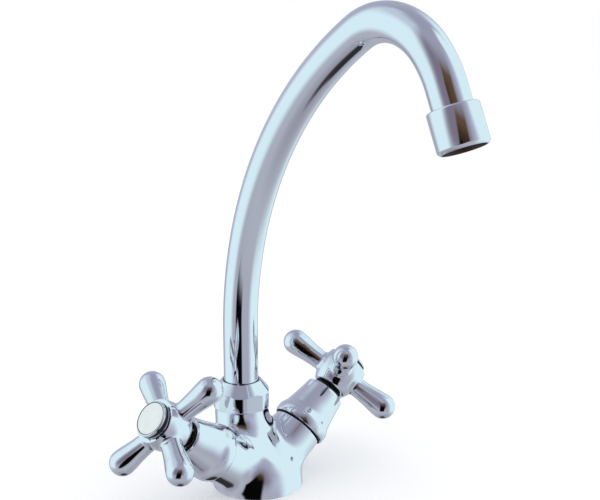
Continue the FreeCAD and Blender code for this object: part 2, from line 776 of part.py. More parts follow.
def cross_handle(side):
    body = turned(side + "_cross_handle", [
        (SPINDLE_BORE, "hub_rear_distance"),
        ("hub_stem_radius", "hub_rear_distance"),
        ("hub_stem_radius", "hub_rear_distance + hub_stem_length"),
        ("hub_shoulder_radius", "hub_rear_distance + hub_stem_length"),
        ("hub_belly_radius", "cross_distance - hub_belly_offset"),
        ("hub_belly_radius", "cross_distance + hub_belly_offset"),
        ("hub_front_radius", "hub_front_distance"),
        ("hub_pocket_radius", "hub_front_distance"),
        ("hub_pocket_radius", WEB_FRONT),
        ("screw_hole_radius", WEB_FRONT),
        ("screw_hole_radius", f"{WEB_REAR} + thread_clearance"),
        (SPINDLE_BORE, f"{WEB_REAR} + thread_clearance"),
    ])
    sketch = new_sketch(body, side + "_arm_outline")
    inside = "(hub_belly_radius - arm_root_depth)"
    root = ("(cross_distance + arm_ball_radius / cos(arm_taper_angle * 1 deg)"
            " - (arm_reach - arm_root_offset) * tan(arm_taper_angle * 1 deg))")
    outline(sketch, [
        (inside, "cross_distance"),
        ("arm_reach + arm_ball_radius", "cross_distance"),
        ("arm_reach - arm_ball_radius * sin(arm_taper_angle * 1 deg)",
         "cross_distance + arm_ball_radius * cos(arm_taper_angle * 1 deg)", "arm_ball_radius"),
        ("arm_root_offset", root),
        (inside, root),
    ])
    centre = Vector(0, number("cross_distance"), 0)
    axis = sketch.addGeometry(Part.LineSegment(centre, centre + Vector(number(inside), 0, 0)), True)
    pin(sketch, axis, 1, "0", "cross_distance")
    pin(sketch, axis, 2, inside, "cross_distance")
    doc.recompute()
    arm = body.newObject("PartDesign::Revolution", side + "_arm")
    arm.Profile = sketch
    arm.ReferenceAxis = (sketch, ["Axis0"])
    arm.Angle = 360
    doc.recompute()
    arms = body.newObject("PartDesign::PolarPattern", side + "_arms")
    arms.Originals = [arm]
    arms.Axis = (plane(body, "Z_Axis"), [""])
    arms.Angle = 360
    arms.setExpression("Occurrences", cell("arm_count"))
    body.Tip = arms
    doc.recompute()
    return on_arm(body, side, turn=side + "_rest_angle")


def handle_screw(side):
    head_top = f"({WEB_FRONT} + screw_head_height)"
    blank = turned(side + "_screw_turning", [
        ("0", f"{WEB_FRONT} - screw_length"),
        ("screw_radius", f"{WEB_FRONT} - screw_length"),
        ("screw_radius", WEB_FRONT),
        ("screw_head_radius", WEB_FRONT),
        ("screw_head_radius", head_top),
        ("0", head_top),
    ])
    socket = doc.addObject("Part::Prism", side + "_screw_socket")
    socket.Polygon = 6
    socket.setExpression("Circumradius", cell("screw_socket_flats / sqrt(3)"))
    socket.setExpression("Height", cell("screw_socket_depth + drill_overshoot"))
    place(socket, up=f"{head_top} - screw_socket_depth")
    return on_arm(cut(side + "_handle_screw", blank, [socket]), side)


INDEX_FLOOR = "(hub_front_distance + ring_floor)"
INDEX_TOP = f"({INDEX_FLOOR} + index_thickness)"


def index_ring(side):
    top = "(hub_front_distance + ring_height)"
    skirt = "(hub_pocket_radius - ring_clearance)"
    low = "(hub_front_distance - ring_skirt_length)"
    return on_arm(turned(side + "_index_ring", [
        ("0", "hub_front_distance"),
        (f"{skirt} - ring_skirt_wall", "hub_front_distance"),
        (f"{skirt} - ring_skirt_wall", low),
        (skirt, low),
        (skirt, "hub_front_distance"),
        ("ring_radius", "hub_front_distance"),
        ("ring_radius", f"{top} - ring_radius + ring_lip_radius"),
        ("ring_lip_radius", top),
        ("index_radius + ring_clearance", top),
        ("index_radius + ring_clearance", INDEX_FLOOR),
        ("0", INDEX_FLOOR),
    ]), side)


def index_disc(side):
    return on_arm(turned(side + "_index_disc", [
        ("0", INDEX_FLOOR),
        ("index_radius", INDEX_FLOOR),
        ("index_radius", f"{INDEX_TOP} - index_round"),
        ("index_radius - index_round", INDEX_TOP, "index_round"),
        ("0", INDEX_TOP),
    ]), side)


for side in SIDES:
    valve(side)
    keep(cross_handle(side), handle_screw(side), index_ring(side), index_disc(side))


# ---- every object and every piece is checked, then each piece goes to its own file ----

doc.recompute()
for item in doc.Objects:
    if "Invalid" in item.State or "Error" in item.State:
        raise RuntimeError(f"{item.Name} did not compute")
for piece in pieces:
    if piece.Shape.isNull() or not piece.Shape.isValid() or len(piece.Shape.Solids) != 1:
        raise RuntimeError(f"{piece.Label} is not one valid solid")

os.makedirs("parts", exist_ok=True)
for piece in pieces:
    piece.Shape.exportStep(f"parts/{piece.Label}.step")
print(len(pieces), "pieces")
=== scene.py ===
import json
import math

import bpy
from mathutils import Matrix, Vector


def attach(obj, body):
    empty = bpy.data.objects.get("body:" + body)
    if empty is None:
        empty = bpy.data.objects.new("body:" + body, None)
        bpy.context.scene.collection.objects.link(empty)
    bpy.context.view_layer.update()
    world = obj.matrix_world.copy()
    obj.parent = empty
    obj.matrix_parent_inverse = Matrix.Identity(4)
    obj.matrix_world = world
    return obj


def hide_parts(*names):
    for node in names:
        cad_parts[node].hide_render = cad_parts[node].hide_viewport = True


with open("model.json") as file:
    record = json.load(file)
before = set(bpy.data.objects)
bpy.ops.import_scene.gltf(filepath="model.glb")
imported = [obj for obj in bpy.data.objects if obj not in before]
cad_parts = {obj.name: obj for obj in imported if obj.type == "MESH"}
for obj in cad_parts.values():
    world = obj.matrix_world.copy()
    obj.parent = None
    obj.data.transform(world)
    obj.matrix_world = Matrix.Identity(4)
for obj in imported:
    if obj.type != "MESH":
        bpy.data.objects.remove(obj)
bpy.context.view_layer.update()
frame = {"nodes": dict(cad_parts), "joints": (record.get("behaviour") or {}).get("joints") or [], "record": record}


# Studio: a round pale worktop inside a light tent, and the camera at the photograph's angle.
# The chrome mirrors the tent: a tall soft panel at each side, lavender cloth between them, and a dark
# flag card on the camera's side. Plain surfaces are lit by an even white dome.

def link(owner, source, socket):
    owner.node_tree.links.new(source, socket)


def node(owner, kind, **inputs):
    """Adds a shader node and sets its plain inputs."""
    made = owner.node_tree.nodes.new(kind)
    for key, value in inputs.items():
        made.inputs[key.replace("_", " ")].default_value = value
    return made


def arithmetic(owner, operation, *values):
    made = node(owner, "ShaderNodeMath")
    made.operation = operation
    for socket, value in zip(made.inputs, values):
        if isinstance(value, (int, float)):
            socket.default_value = value
        else:
            link(owner, value, socket)
    return made.outputs[0]


def ramp(owner, value, stops):
    made = node(owner, "ShaderNodeValToRGB")
    made.color_ramp.interpolation = "EASE"
    elements = made.color_ramp.elements
    while len(elements) < len(stops):
        elements.new(0.5)
    for element, (position, color) in zip(elements, stops):
        element.position = position
        element.color = (*color, 1)
    link(owner, value, made.inputs["Fac"])
    return made.outputs["Color"]


def over(owner, factor, below, above):
    """Lays one colour over another."""
    made = node(owner, "ShaderNodeMix")
    made.data_type = "RGBA"
    link(owner, factor, made.inputs[0])
    for socket, value in ((made.inputs[6], below), (made.inputs[7], above)):
        if isinstance(value, tuple):
            socket.default_value = (*value, 1)
        else:
            link(owner, value, socket)
    return made.outputs[2]


def reach(owner, value, centre, half, softness):
    """1 within half of the centre, falling softly to 0 outside."""
    away = arithmetic(owner, "ABSOLUTE", arithmetic(owner, "SUBTRACT", value, centre))
    fall = node(owner, "ShaderNodeMapRange", From_Min=half + softness, From_Max=half - softness)
    fall.interpolation_type = "SMOOTHSTEP"
    link(owner, away, fall.inputs["Value"])
    return fall.outputs["Result"]


CAMERA_PLACE = (-0.430529, -0.529693, 0.311117)
CAMERA_TURN = (math.pi / 2 - 0.248, 0.001, -0.7187)
CAMERA_LENS_MM = 76.24

LAVENDER_CLOTH = (0.42, 0.44, 0.56)
PANEL_LIGHT = (0.75, 0.95, 1.01)
PANEL_HAZE = (0.56, 0.65, 0.76)
DUSK = (0.21, 0.19, 0.25)

# Panel: bearing and height of its middle from the camera's side, half its width and height, softness, colour.
TENT_PANELS = [
    (-95, 48, 45, 22, 14, PANEL_HAZE),
    (-94, 5, 35, 36, 13, PANEL_LIGHT),
    (108, 5, 44, 44, 15, PANEL_LIGHT),
    (92, 50, 20, 14, 7, PANEL_LIGHT),
    (-10, 24, 46, 28, 18, DUSK),
]
FLAG_CARD = (-6, 8, 20, 36, 4)
FLAG_LEAN = -0.3
SHADOW_BELOW = (-0.24, 0.0, -0.97)
SHADOW_HALF = 0.026
SHADOW_SOFTNESS = 0.010
SHADOW_DARK = (0.03, 0.03, 0.035)
DOME_LIGHT = (0.97, 0.98, 1.0)
BACKDROP_WHITE = (1.0, 1.0, 1.0)
WORKTOP_RADIUS_M = 0.9
WORKTOP_GLOW = 0.2

tent = bpy.data.worlds.new("light_tent")
bpy.context.scene.world = tent
tent.use_nodes = True
tent.node_tree.nodes.clear()
place = node(tent, "ShaderNodeTexCoord")
to_camera_side = node(tent, "ShaderNodeMapping")
to_camera_side.inputs["Rotation"].default_value = (0, 0, -math.atan2(CAMERA_PLACE[1], CAMERA_PLACE[0]))
link(tent, place.outputs["Generated"], to_camera_side.inputs["Vector"])
heading = node(tent, "ShaderNodeSeparateXYZ")
link(tent, to_camera_side.outputs["Vector"], heading.inputs[0])
bearing = arithmetic(tent, "ARCTAN2", heading.outputs["Y"], heading.outputs["X"])
bearing = arithmetic(tent, "MULTIPLY", bearing, 180 / math.pi)
rise = arithmetic(tent, "ARCSINE", heading.outputs["Z"])
rise = arithmetic(tent, "MULTIPLY", rise, 180 / math.pi)

cloth = ramp(tent, arithmetic(tent, "MULTIPLY_ADD", rise, 1 / 180, 0.5), [
    (0.02, (0.05, 0.04, 0.05)), (0.08, (0.34, 0.35, 0.42)), (0.24, (0.45, 0.48, 0.55)),
    (0.38, (0.42, 0.44, 0.52)), (0.50, (0.50, 0.54, 0.66)), (0.68, LAVENDER_CLOTH),
    (0.95, (0.34, 0.36, 0.47))])
for middle, height, half_width, half_height, softness, color in TENT_PANELS:
    mask = arithmetic(tent, "MULTIPLY", reach(tent, bearing, middle, half_width, softness),
                      reach(tent, rise, height, half_height, softness))
    cloth = over(tent, mask, cloth, color)
middle, height, half_width, half_height, softness = FLAG_CARD
across = arithmetic(tent, "MULTIPLY_ADD", rise, FLAG_LEAN, bearing)
mask = arithmetic(tent, "MULTIPLY", reach(tent, across, middle, half_width, softness),
                  reach(tent, rise, height, half_height, softness))
flag = ramp(tent, arithmetic(tent, "MULTIPLY_ADD", rise, 1 / 180, 0.5), [
    (0.57, (0.002, 0.002, 0.002)), (0.61, (0.05, 0.027, 0.016)), (0.69, (0.12, 0.075, 0.045)),
    (0.74, (0.22, 0.19, 0.21))])
cloth = over(tent, mask, cloth, flag)
downward = node(tent, "ShaderNodeVectorMath")
downward.operation = "DOT_PRODUCT"
downward.inputs[1].default_value = SHADOW_BELOW
link(tent, to_camera_side.outputs["Vector"], downward.inputs[0])
shadow = reach(tent, downward.outputs["Value"], 1.0, SHADOW_HALF, SHADOW_SOFTNESS)
cloth = over(tent, shadow, cloth, SHADOW_DARK)

path = node(tent, "ShaderNodeLightPath")
light = over(tent, path.outputs["Is Glossy Ray"], DOME_LIGHT, cloth)
light = over(tent, path.outputs["Is Camera Ray"], light, BACKDROP_WHITE)
background = node(tent, "ShaderNodeBackground", Strength=1.0)
link(tent, light, background.inputs["Color"])
link(tent, background.outputs[0], node(tent, "ShaderNodeOutputWorld").inputs["Surface"])

bpy.ops.object.select_all(action="DESELECT")
bpy.ops.mesh.primitive_circle_add(vertices=96, radius=WORKTOP_RADIUS_M, fill_type="NGON")
worktop = bpy.context.object
worktop.name = "worktop"
worktop.visible_glossy = False
worktop_white = bpy.data.materials.new("worktop_white")
worktop_white.use_nodes = True
shader = worktop_white.node_tree.nodes["Principled BSDF"]
shader.inputs["Base Color"].default_value = (0.88, 0.88, 0.88, 1)
shader.inputs["Roughness"].default_value = 0.9
shader.inputs["Emission Color"].default_value = (1, 1, 1, 1)
path = node(worktop_white, "ShaderNodeLightPath")
link(worktop_white, arithmetic(worktop_white, "MULTIPLY", path.outputs["Is Camera Ray"], WORKTOP_GLOW),
     shader.inputs["Emission Strength"])
worktop.data.materials.append(worktop_white)

bpy.ops.object.camera_add(location=CAMERA_PLACE, rotation=CAMERA_TURN)
camera = bpy.context.object
camera.data.lens = CAMERA_LENS_MM
camera.data.clip_start = 0.01
bpy.context.scene.camera = camera
bpy.context.scene.view_settings.view_transform = "Standard"


# Body casting: sand-cast brass in one piece, ground, polished and chrome plated.
# A drum-shaped foot, the leaning waist, the neck and the two valve arms run into each other in soft hollows.

def chrome(name, ripple_scale, ripple_height, roughness=(0.025, 0.07), stretch=(1, 1, 1)):
    """Polished chrome plate. The metal under it is never quite flat, so the mirror has a faint slow ripple,
    and handling leaves thin patches that are a little duller."""
    plate = bpy.data.materials.new(name)
    plate.use_nodes = True
    shader = plate.node_tree.nodes["Principled BSDF"]
    shader.inputs["Base Color"].default_value = (0.86, 0.87, 0.90, 1)
    shader.inputs["Metallic"].default_value = 1.0
    place = node(plate, "ShaderNodeTexCoord")
    scaled = node(plate, "ShaderNodeMapping")
    scaled.inputs["Scale"].default_value = stretch
    link(plate, place.outputs["Object"], scaled.inputs["Vector"])
    patches = node(plate, "ShaderNodeTexNoise", Scale=55.0, Detail=4.0, Roughness=0.6)
    link(plate, scaled.outputs[0], patches.inputs["Vector"])
    dull = node(plate, "ShaderNodeMapRange", From_Min=0.35, From_Max=0.75,
                To_Min=roughness[0], To_Max=roughness[1])
    link(plate, patches.outputs[0], dull.inputs["Value"])
    link(plate, dull.outputs[0], shader.inputs["Roughness"])
    ripple = node(plate, "ShaderNodeTexNoise", Scale=ripple_scale, Detail=1.0)
    link(plate, scaled.outputs[0], ripple.inputs["Vector"])
    bump = node(plate, "ShaderNodeBump", Strength=1.0, Distance=ripple_height)
    link(plate, ripple.outputs[0], bump.inputs["Height"])
    link(plate, bump.outputs[0], shader.inputs["Normal"])
    return plate


cast_chrome = chrome("cast_chrome", 90.0, 0.00002)


def mount(name):
    return next(item for item in frame["record"]["mounts"] if item["name"] == name)


def hinge(name):
    return next(item for item in frame["joints"] if item["name"] == name)


MM = 0.001
NECK_BACK = hinge("spout_swivel")["pos_m"][1]
SIDES = ("left", "right")
CROSS_DISTANCE = 80.0 * MM


def arm_matrix(side):
    """Stands a piece that was made round +Z on that side's valve axis, measured from the arm origin."""
    turn = hinge(side + "_handle_turn")
    axis = Vector(turn["axis"]).normalized()
    origin = Vector(turn["pos_m"]) - axis * CROSS_DISTANCE
    return Matrix.Translation(origin) @ Vector((0, 0, 1)).rotation_difference(axis).to_matrix().to_4x4()


def turned(name, outline, sides=128, caps=True):
    """A lathe shape about +Z, drawn from its lower end up. The outline is (radius, height) in millimetres.
    With caps both ends are closed; without, the last ring is joined back to the first."""
    bpy.ops.object.select_all(action="DESELECT")
    radius, height = outline[0]
    bpy.ops.mesh.primitive_circle_add(vertices=sides, radius=radius * MM, location=(0, 0, height * MM),
                                      fill_type="NGON" if caps else "NOTHING")
    piece = bpy.context.object
    piece.name = name
    piece.data.name = name
    bpy.ops.object.transform_apply()
    bpy.ops.object.mode_set(mode="EDIT")
    bpy.ops.mesh.select_mode(type="EDGE")
    bpy.ops.mesh.select_all(action="SELECT")
    rings = outline if caps else outline + outline[:1]
    for (radius, height), (next_radius, next_height) in zip(rings, rings[1:]):
        bpy.ops.mesh.extrude_region_move(
            TRANSFORM_OT_translate={"value": (0, 0, (next_height - height) * MM)})
        growth = next_radius / radius
        bpy.ops.transform.resize(value=(growth, growth, 1), center_override=(0, 0, next_height * MM))
    bpy.ops.mesh.select_all(action="SELECT")
    bpy.ops.mesh.remove_doubles(threshold=0.000002)
    bpy.ops.mesh.normals_make_consistent(inside=False)
    bpy.ops.object.mode_set(mode="OBJECT")
    return piece


def bevelled(piece, width, segments=3, angle=28):
    """Rounds the piece's edges and shades it smooth."""
    rounding = piece.modifiers.new("edges", "BEVEL")
    rounding.width = width * MM
    rounding.segments = segments
    rounding.limit_method = "ANGLE"
    rounding.angle_limit = math.radians(angle)
    apply_all(piece)


def apply_all(piece):
    bpy.ops.object.select_all(action="DESELECT")
    piece.select_set(True)
    bpy.context.view_layer.objects.active = piece
    for modifier in list(piece.modifiers):
        bpy.ops.object.modifier_apply(modifier=modifier.name)
    bpy.ops.object.shade_smooth_by_angle(angle=math.radians(35))


def settle(piece, matrix):
    """Puts a piece in place and moves that place into its mesh."""
    piece.matrix_world = matrix
    bpy.ops.object.select_all(action="DESELECT")
    piece.select_set(True)
    bpy.context.view_layer.objects.active = piece
    bpy.ops.object.transform_apply()
    return piece


def melt(name, forms, voxel, passes):
    """Joins plain forms into one skin and relaxes it, so that they flow into each other like a casting."""
    bpy.ops.object.select_all(action="DESELECT")
    for form in forms:
        form.select_set(True)
    bpy.context.view_layer.objects.active = forms[0]
    bpy.ops.object.join()
    piece = bpy.context.object
    piece.name = name
    piece.data.name = name
    skin = piece.modifiers.new("skin", "REMESH")
    skin.mode = "VOXEL"
    skin.voxel_size = voxel * MM
    relax = piece.modifiers.new("relax", "SMOOTH")
    relax.factor = 0.5
    relax.iterations = passes
    apply_all(piece)
    return piece


def sawn(piece, point, normal):
    """Saws off what lies on the normal's side of a plane and closes the cut."""
    bpy.ops.object.select_all(action="DESELECT")
    piece.select_set(True)
    bpy.context.view_layer.objects.active = piece
    bpy.ops.object.mode_set(mode="EDIT")
    bpy.ops.mesh.select_all(action="SELECT")
    bpy.ops.mesh.bisect(plane_co=point, plane_no=normal, use_fill=True, clear_outer=True)
    bpy.ops.object.mode_set(mode="OBJECT")


BASE_RADIUS = 25.4
NECK_RADIUS = 14.4
NECK_SETBACK = 14.5
NECK_TOP = 43.2
ARM_RADIUS = 14.0
ARM_END = 37.7
ARM_FORM_LENGTH = 56
BLEND = 20.0
BODY_VOXEL = 0.7
WORKTOP_GAP = 0.02


def before_relaxing(radius):
    """The radius that a round form needs so that it has the wanted one once it is relaxed."""
    return math.sqrt(radius ** 2 + 2 * BLEND)


def leaning_waist():
    """The foot and waist: rings that shrink and step back towards the neck as they rise."""
    rings = [(BASE_RADIUS, 0, -20), (BASE_RADIUS, 0, 2.5), (23.9, 0, 11), (22.0, 2.6, 18), (18.2, 7.6, 25.5),
             (15.6, 12.2, 32), (NECK_RADIUS, NECK_SETBACK, 38), (NECK_RADIUS, NECK_SETBACK, 62)]
    rings = [(before_relaxing(radius), back, height) for radius, back, height in rings]
    bpy.ops.object.select_all(action="DESELECT")
    radius, back, height = rings[0]
    bpy.ops.mesh.primitive_circle_add(vertices=96, radius=radius * MM, location=(0, back * MM, height * MM),
                                      fill_type="NGON")
    waist = bpy.context.object
    bpy.ops.object.transform_apply()
    bpy.ops.object.mode_set(mode="EDIT")
    bpy.ops.mesh.select_mode(type="EDGE")
    bpy.ops.mesh.select_all(action="SELECT")
    for (radius, back, height), (next_radius, next_back, next_height) in zip(rings, rings[1:]):
        bpy.ops.mesh.extrude_region_move(
            TRANSFORM_OT_translate={"value": (0, (next_back - back) * MM, (next_height - height) * MM)})
        growth = next_radius / radius
        bpy.ops.transform.resize(value=(growth, growth, 1),
                                 center_override=(0, next_back * MM, next_height * MM))
    bpy.ops.mesh.select_all(action="SELECT")
    bpy.ops.mesh.normals_make_consistent(inside=False)
    bpy.ops.object.mode_set(mode="OBJECT")
    return waist


def body_casting():
    forms = [leaning_waist()]
    for side in SIDES:
        radius = before_relaxing(ARM_RADIUS)
        arm = turned(side + "_arm_form", [(radius, 0), (radius, ARM_FORM_LENGTH)], 96)
        forms.append(settle(arm, arm_matrix(side)))
    piece = melt("body_casting_chrome", forms, BODY_VOXEL, round(8 * BLEND / BODY_VOXEL ** 2))
    sawn(piece, (0, 0, WORKTOP_GAP * MM), (0, 0, -1))
    sawn(piece, (0, 0, NECK_TOP * MM), (0, 0, 1))
    for side in SIDES:
        place = arm_matrix(side)
        sawn(piece, place @ Vector((0, 0, ARM_END * MM)), place.to_3x3() @ Vector((0, 0, 1)))
    bevelled(piece, 0.5, 3, 50)
    piece.data.materials.append(cast_chrome)
    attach(piece, "body")
    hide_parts("body_casting")


body_casting()


# Collar nut: a brass union nut turned from hexagon bar, with a coned top, that holds the spout on the neck.
# The six flats die out in arches where they meet the cone.

turned_chrome = chrome("turned_chrome", 60.0, 0.00001)

NUT_FLATS = 31.7
NUT_TURN = -9.4
NUT_RADIUS = 16.7
NUT_BORE = 12.05
NUT_TOP = NECK_TOP + 15.7
ROOF_BORE = 10.5
ROOF_UNDERSIDE = NECK_TOP + 13.1


def collar_nut():
    nut = turned("collar_nut_chrome", [
        (NUT_BORE, NECK_TOP), (15.9, NECK_TOP), (NUT_RADIUS, NECK_TOP + 0.8), (NUT_RADIUS, NECK_TOP + 9.2),
        (11.5, NUT_TOP), (ROOF_BORE, NUT_TOP), (ROOF_BORE, ROOF_UNDERSIDE), (NUT_BORE, ROOF_UNDERSIDE)],
        192, caps=False)
    bpy.ops.object.select_all(action="DESELECT")
    bpy.ops.mesh.primitive_cylinder_add(vertices=6, radius=NUT_FLATS / math.sqrt(3) * MM, depth=30 * MM,
                                        location=(0, 0, (NECK_TOP + 8) * MM),
                                        rotation=(0, 0, math.radians(30 + NUT_TURN)))
    hexagon = bpy.context.object
    flats = nut.modifiers.new("flats", "BOOLEAN")
    flats.operation = "INTERSECT"
    flats.solver = "EXACT"
    flats.object = hexagon
    apply_all(nut)
    bpy.data.objects.remove(hexagon)
    bevelled(nut, 0.7, 5, 12)
    settle(nut, Matrix.Translation((0, NECK_BACK, 0)))
    nut.data.materials.append(turned_chrome)
    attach(nut, "body")
    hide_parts("collar_nut")


collar_nut()


# Spout: one length of 20 mm brass tube, bent in three arcs and polished along its length.
# It rises straight out of the nut, sweeps forward, crowns over and drops into the aerator housing.

drawn_chrome = chrome("drawn_chrome", 40.0, 0.00001, stretch=(1, 0.4, 0.4))

TUBE_RADIUS = 9.93
TUBE_FOOT = 55.35
RISER_TOP = 88.0
ARCS = ((207.7, 57.1), (37.6, 78.9), (55.0, 20.1))
DROP_LENGTH = 9.7
SOCKET_DEPTH = 5.4


def spout_tube():
    bpy.ops.object.select_all(action="DESELECT")
    bpy.ops.mesh.primitive_circle_add(vertices=96, radius=TUBE_RADIUS * MM, fill_type="NGON",
                                      location=(0, NECK_BACK, TUBE_FOOT * MM))
    tube = bpy.context.object
    tube.name = "spout_tube_chrome"
    bpy.ops.object.transform_apply()
    bpy.ops.object.mode_set(mode="EDIT")
    bpy.ops.mesh.select_mode(type="EDGE")
    bpy.ops.mesh.select_all(action="SELECT")
    bpy.ops.mesh.extrude_region_move(
        TRANSFORM_OT_translate={"value": (0, 0, (RISER_TOP - TUBE_FOOT) * MM)})
    place, heading = Vector((0, NECK_BACK, RISER_TOP * MM)), 0.0
    for radius, turn in ARCS:
        towards_centre = Vector((0, -math.cos(heading), -math.sin(heading)))
        centre = place + towards_centre * radius * MM
        swept = math.radians(turn)
        bpy.ops.mesh.spin(steps=max(12, round(turn * 1.2)), angle=swept, center=centre, axis=(-1, 0, 0))
        heading += swept
        place = centre + Vector((0, math.cos(heading), math.sin(heading))) * radius * MM
    drop = Vector((0, -math.sin(heading), math.cos(heading))) * (DROP_LENGTH + SOCKET_DEPTH) * MM
    bpy.ops.mesh.extrude_region_move(TRANSFORM_OT_translate={"value": drop})
    bpy.ops.mesh.select_all(action="SELECT")
    bpy.ops.mesh.remove_doubles(threshold=0.000002)
    bpy.ops.mesh.normals_make_consistent(inside=False)
    bpy.ops.object.mode_set(mode="OBJECT")
    apply_all(tube)
    tube.data.materials.append(drawn_chrome)
    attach(tube, "spout")
    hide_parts("spout_tube")


spout_tube()


# Aerator housing: a turned brass cup brazed on the tube's end, with a rounded shoulder and a chamfered mouth.
# Inside it sit a rubber washer, a steel screen and a dark brown jet insert. The wall round the insert is
# dark brown too, for the skirt with which an insert lines it.

OUTLET = mount("water_outlet")
HOUSING_LENGTH = 20.1
HOUSING_RADIUS = 12.7
SOCKET_BORE = 10.05
MOUTH_BORE = 10.6
LEDGE_BORE = 8.8
LEDGE_LOW = 5.6
LEDGE_HIGH = 7.0


def outlet_matrix():
    axis = Vector(OUTLET["axis"]).normalized()
    start = Vector(OUTLET["pos_m"]) - axis * HOUSING_LENGTH * MM
    return Matrix.Translation(start) @ Vector((0, 0, 1)).rotation_difference(axis).to_matrix().to_4x4()


def moulded(name, color, roughness, grain_scale, grain_height, mottle=0.12):
    """Moulded plastic or rubber: slightly uneven colour and gloss, and a fine skin grain."""
    paint = bpy.data.materials.new(name)
    paint.use_nodes = True
    shader = paint.node_tree.nodes["Principled BSDF"]
    place = node(paint, "ShaderNodeTexCoord")
    cloud = node(paint, "ShaderNodeTexNoise", Scale=120.0, Detail=3.0)
    link(paint, place.outputs["Object"], cloud.inputs["Vector"])
    dark = tuple(channel * (1 - mottle) for channel in color)
    light = tuple(min(1, channel * (1 + mottle)) for channel in color)
    shade = ramp(paint, cloud.outputs[0], [(0.3, dark), (0.7, light)])
    link(paint, shade, shader.inputs["Base Color"])
    gloss = node(paint, "ShaderNodeMapRange", To_Min=roughness * 0.8, To_Max=roughness * 1.2)
    link(paint, cloud.outputs[0], gloss.inputs["Value"])
    link(paint, gloss.outputs[0], shader.inputs["Roughness"])
    grain = node(paint, "ShaderNodeTexNoise", Scale=grain_scale, Detail=2.0)
    link(paint, place.outputs["Object"], grain.inputs["Vector"])
    bump = node(paint, "ShaderNodeBump", Strength=0.6, Distance=grain_height)
    link(paint, grain.outputs[0], bump.inputs["Height"])
    link(paint, bump.outputs[0], shader.inputs["Normal"])
    return paint


def dressed(name, material):
    """A carried-over piece keeps its mesh and takes a finish."""
    mesh = frame["nodes"][name].data
    mesh.materials.clear()
    mesh.materials.append(material)


brown_acetal = moulded("brown_acetal", (0.055, 0.028, 0.016), 0.35, 900.0, 0.00001)
black_rubber = moulded("black_rubber", (0.012, 0.012, 0.013), 0.55, 1500.0, 0.00001)
steel_gauze = moulded("steel_gauze", (0.45, 0.45, 0.46), 0.35, 2500.0, 0.00003)
dressed("aerator_insert", brown_acetal)
dressed("aerator_washer", black_rubber)
dressed("aerator_screen", steel_gauze)


def lined(piece, finish, chosen):
    """Gives a second material, a finish or a painted shade for hollows, to the faces whose middle, as (radius,
    height) in millimetres, is chosen.
    """
    piece.data.materials.append(finish)
    for face in piece.data.polygons:
        if chosen(math.hypot(face.center.x, face.center.y) / MM, face.center.z / MM):
            face.material_index = len(piece.data.materials) - 1


def aerator_housing():
    cup = turned("aerator_housing_chrome", [
        (SOCKET_BORE, 0), (11.9, 0), (12.5, 0.35), (HOUSING_RADIUS, 1.0), (HOUSING_RADIUS, 18.6),
        (11.4, HOUSING_LENGTH), (MOUTH_BORE, HOUSING_LENGTH), (MOUTH_BORE, LEDGE_HIGH),
        (LEDGE_BORE, LEDGE_HIGH), (LEDGE_BORE, LEDGE_LOW), (SOCKET_BORE, LEDGE_LOW)], 160, caps=False)
    bevelled(cup, 0.25, 3, 20)
    cup.data.materials.append(turned_chrome)
    lined(cup, brown_acetal, lambda radius, height: radius < 10.9 and height > LEDGE_HIGH)
    settle(cup, outlet_matrix())
    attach(cup, "spout")
    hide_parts("aerator_housing")


aerator_housing()


# Valve shrouds: bell-shaped brass covers over the headworks, turned, polished and plated.
# A rounded bead stands on a black seal at the arm's end, and above a hollow sweep the bell tapers to a
# rounded lip. The underside of the bead and the cup behind the lip carry painted shade, a near-black finish.

# Painted shade: a near-black finish laid on the faces of hollows and gaps, where shade falls.
painted_shade_recess = moulded("painted_shade_recess", (0.014, 0.012, 0.012), 0.6, 900.0, 0.00001)

SEAM = 38.6
SHROUD_TOP = 66.2
SKIRT_BORE = 12.7
CUP_BORE = 8.4
THREAD_BORE = 8.05
WEB_LOW = 54.5
WEB_HIGH = 57.5
SEAL_BORE = 12.3


def shroud(side):
    bell = turned(side + "_shroud_chrome", [
        (SKIRT_BORE, SEAM), (15.2, SEAM), (15.9, SEAM + 0.15), (16.4, SEAM + 0.7), (16.65, SEAM + 1.6),
        (16.7, SEAM + 3.4), (16.65, SEAM + 4.8), (16.35, SEAM + 6.0), (15.8, SEAM + 7.2), (15.2, SEAM + 8.4),
        (14.85, SEAM + 9.4), (14.6, SEAM + 10.6), (14.4, SEAM + 11.8), (13.9, SEAM + 14.4),
        (13.35, SEAM + 17.4), (12.72, SEAM + 21.4), (12.2, SHROUD_TOP - 2.2), (12.0, SHROUD_TOP - 1.0),
        (11.75, SHROUD_TOP - 0.45), (11.2, SHROUD_TOP - 0.1), (10.5, SHROUD_TOP), (9.1, SHROUD_TOP),
        (8.6, SHROUD_TOP - 0.2), (CUP_BORE, SHROUD_TOP - 0.7), (CUP_BORE, WEB_HIGH), (THREAD_BORE, WEB_HIGH),
        (THREAD_BORE, WEB_LOW), (CUP_BORE, WEB_LOW), (SKIRT_BORE, 44.2)], 160, caps=False)
    bevelled(bell, 0.2, 3, 24)
    bell.data.materials.append(turned_chrome)
    # Painted shade on the bead's underside and in the cup behind the lip.
    lined(bell, painted_shade_recess, lambda radius, height: height < SEAM + 0.1 or (
        radius < 8.95 and height > WEB_HIGH - 0.1))
    settle(bell, arm_matrix(side))
    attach(bell, "body")
    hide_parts(side + "_shroud")


def shroud_seal(side):
    seal = turned(side + "_shroud_seal_rubber", [
        (SEAL_BORE, ARM_END), (13.8, ARM_END), (13.9, ARM_END + 0.45), (13.8, SEAM), (SEAL_BORE, SEAM)],
        128, caps=False)
    bevelled(seal, 0.1, 2, 30)
    settle(seal, arm_matrix(side))
    seal.data.materials.append(black_rubber)
    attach(seal, "body")
    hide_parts(side + "_shroud_seal")


for side in SIDES:
    shroud(side)
    shroud_seal(side)
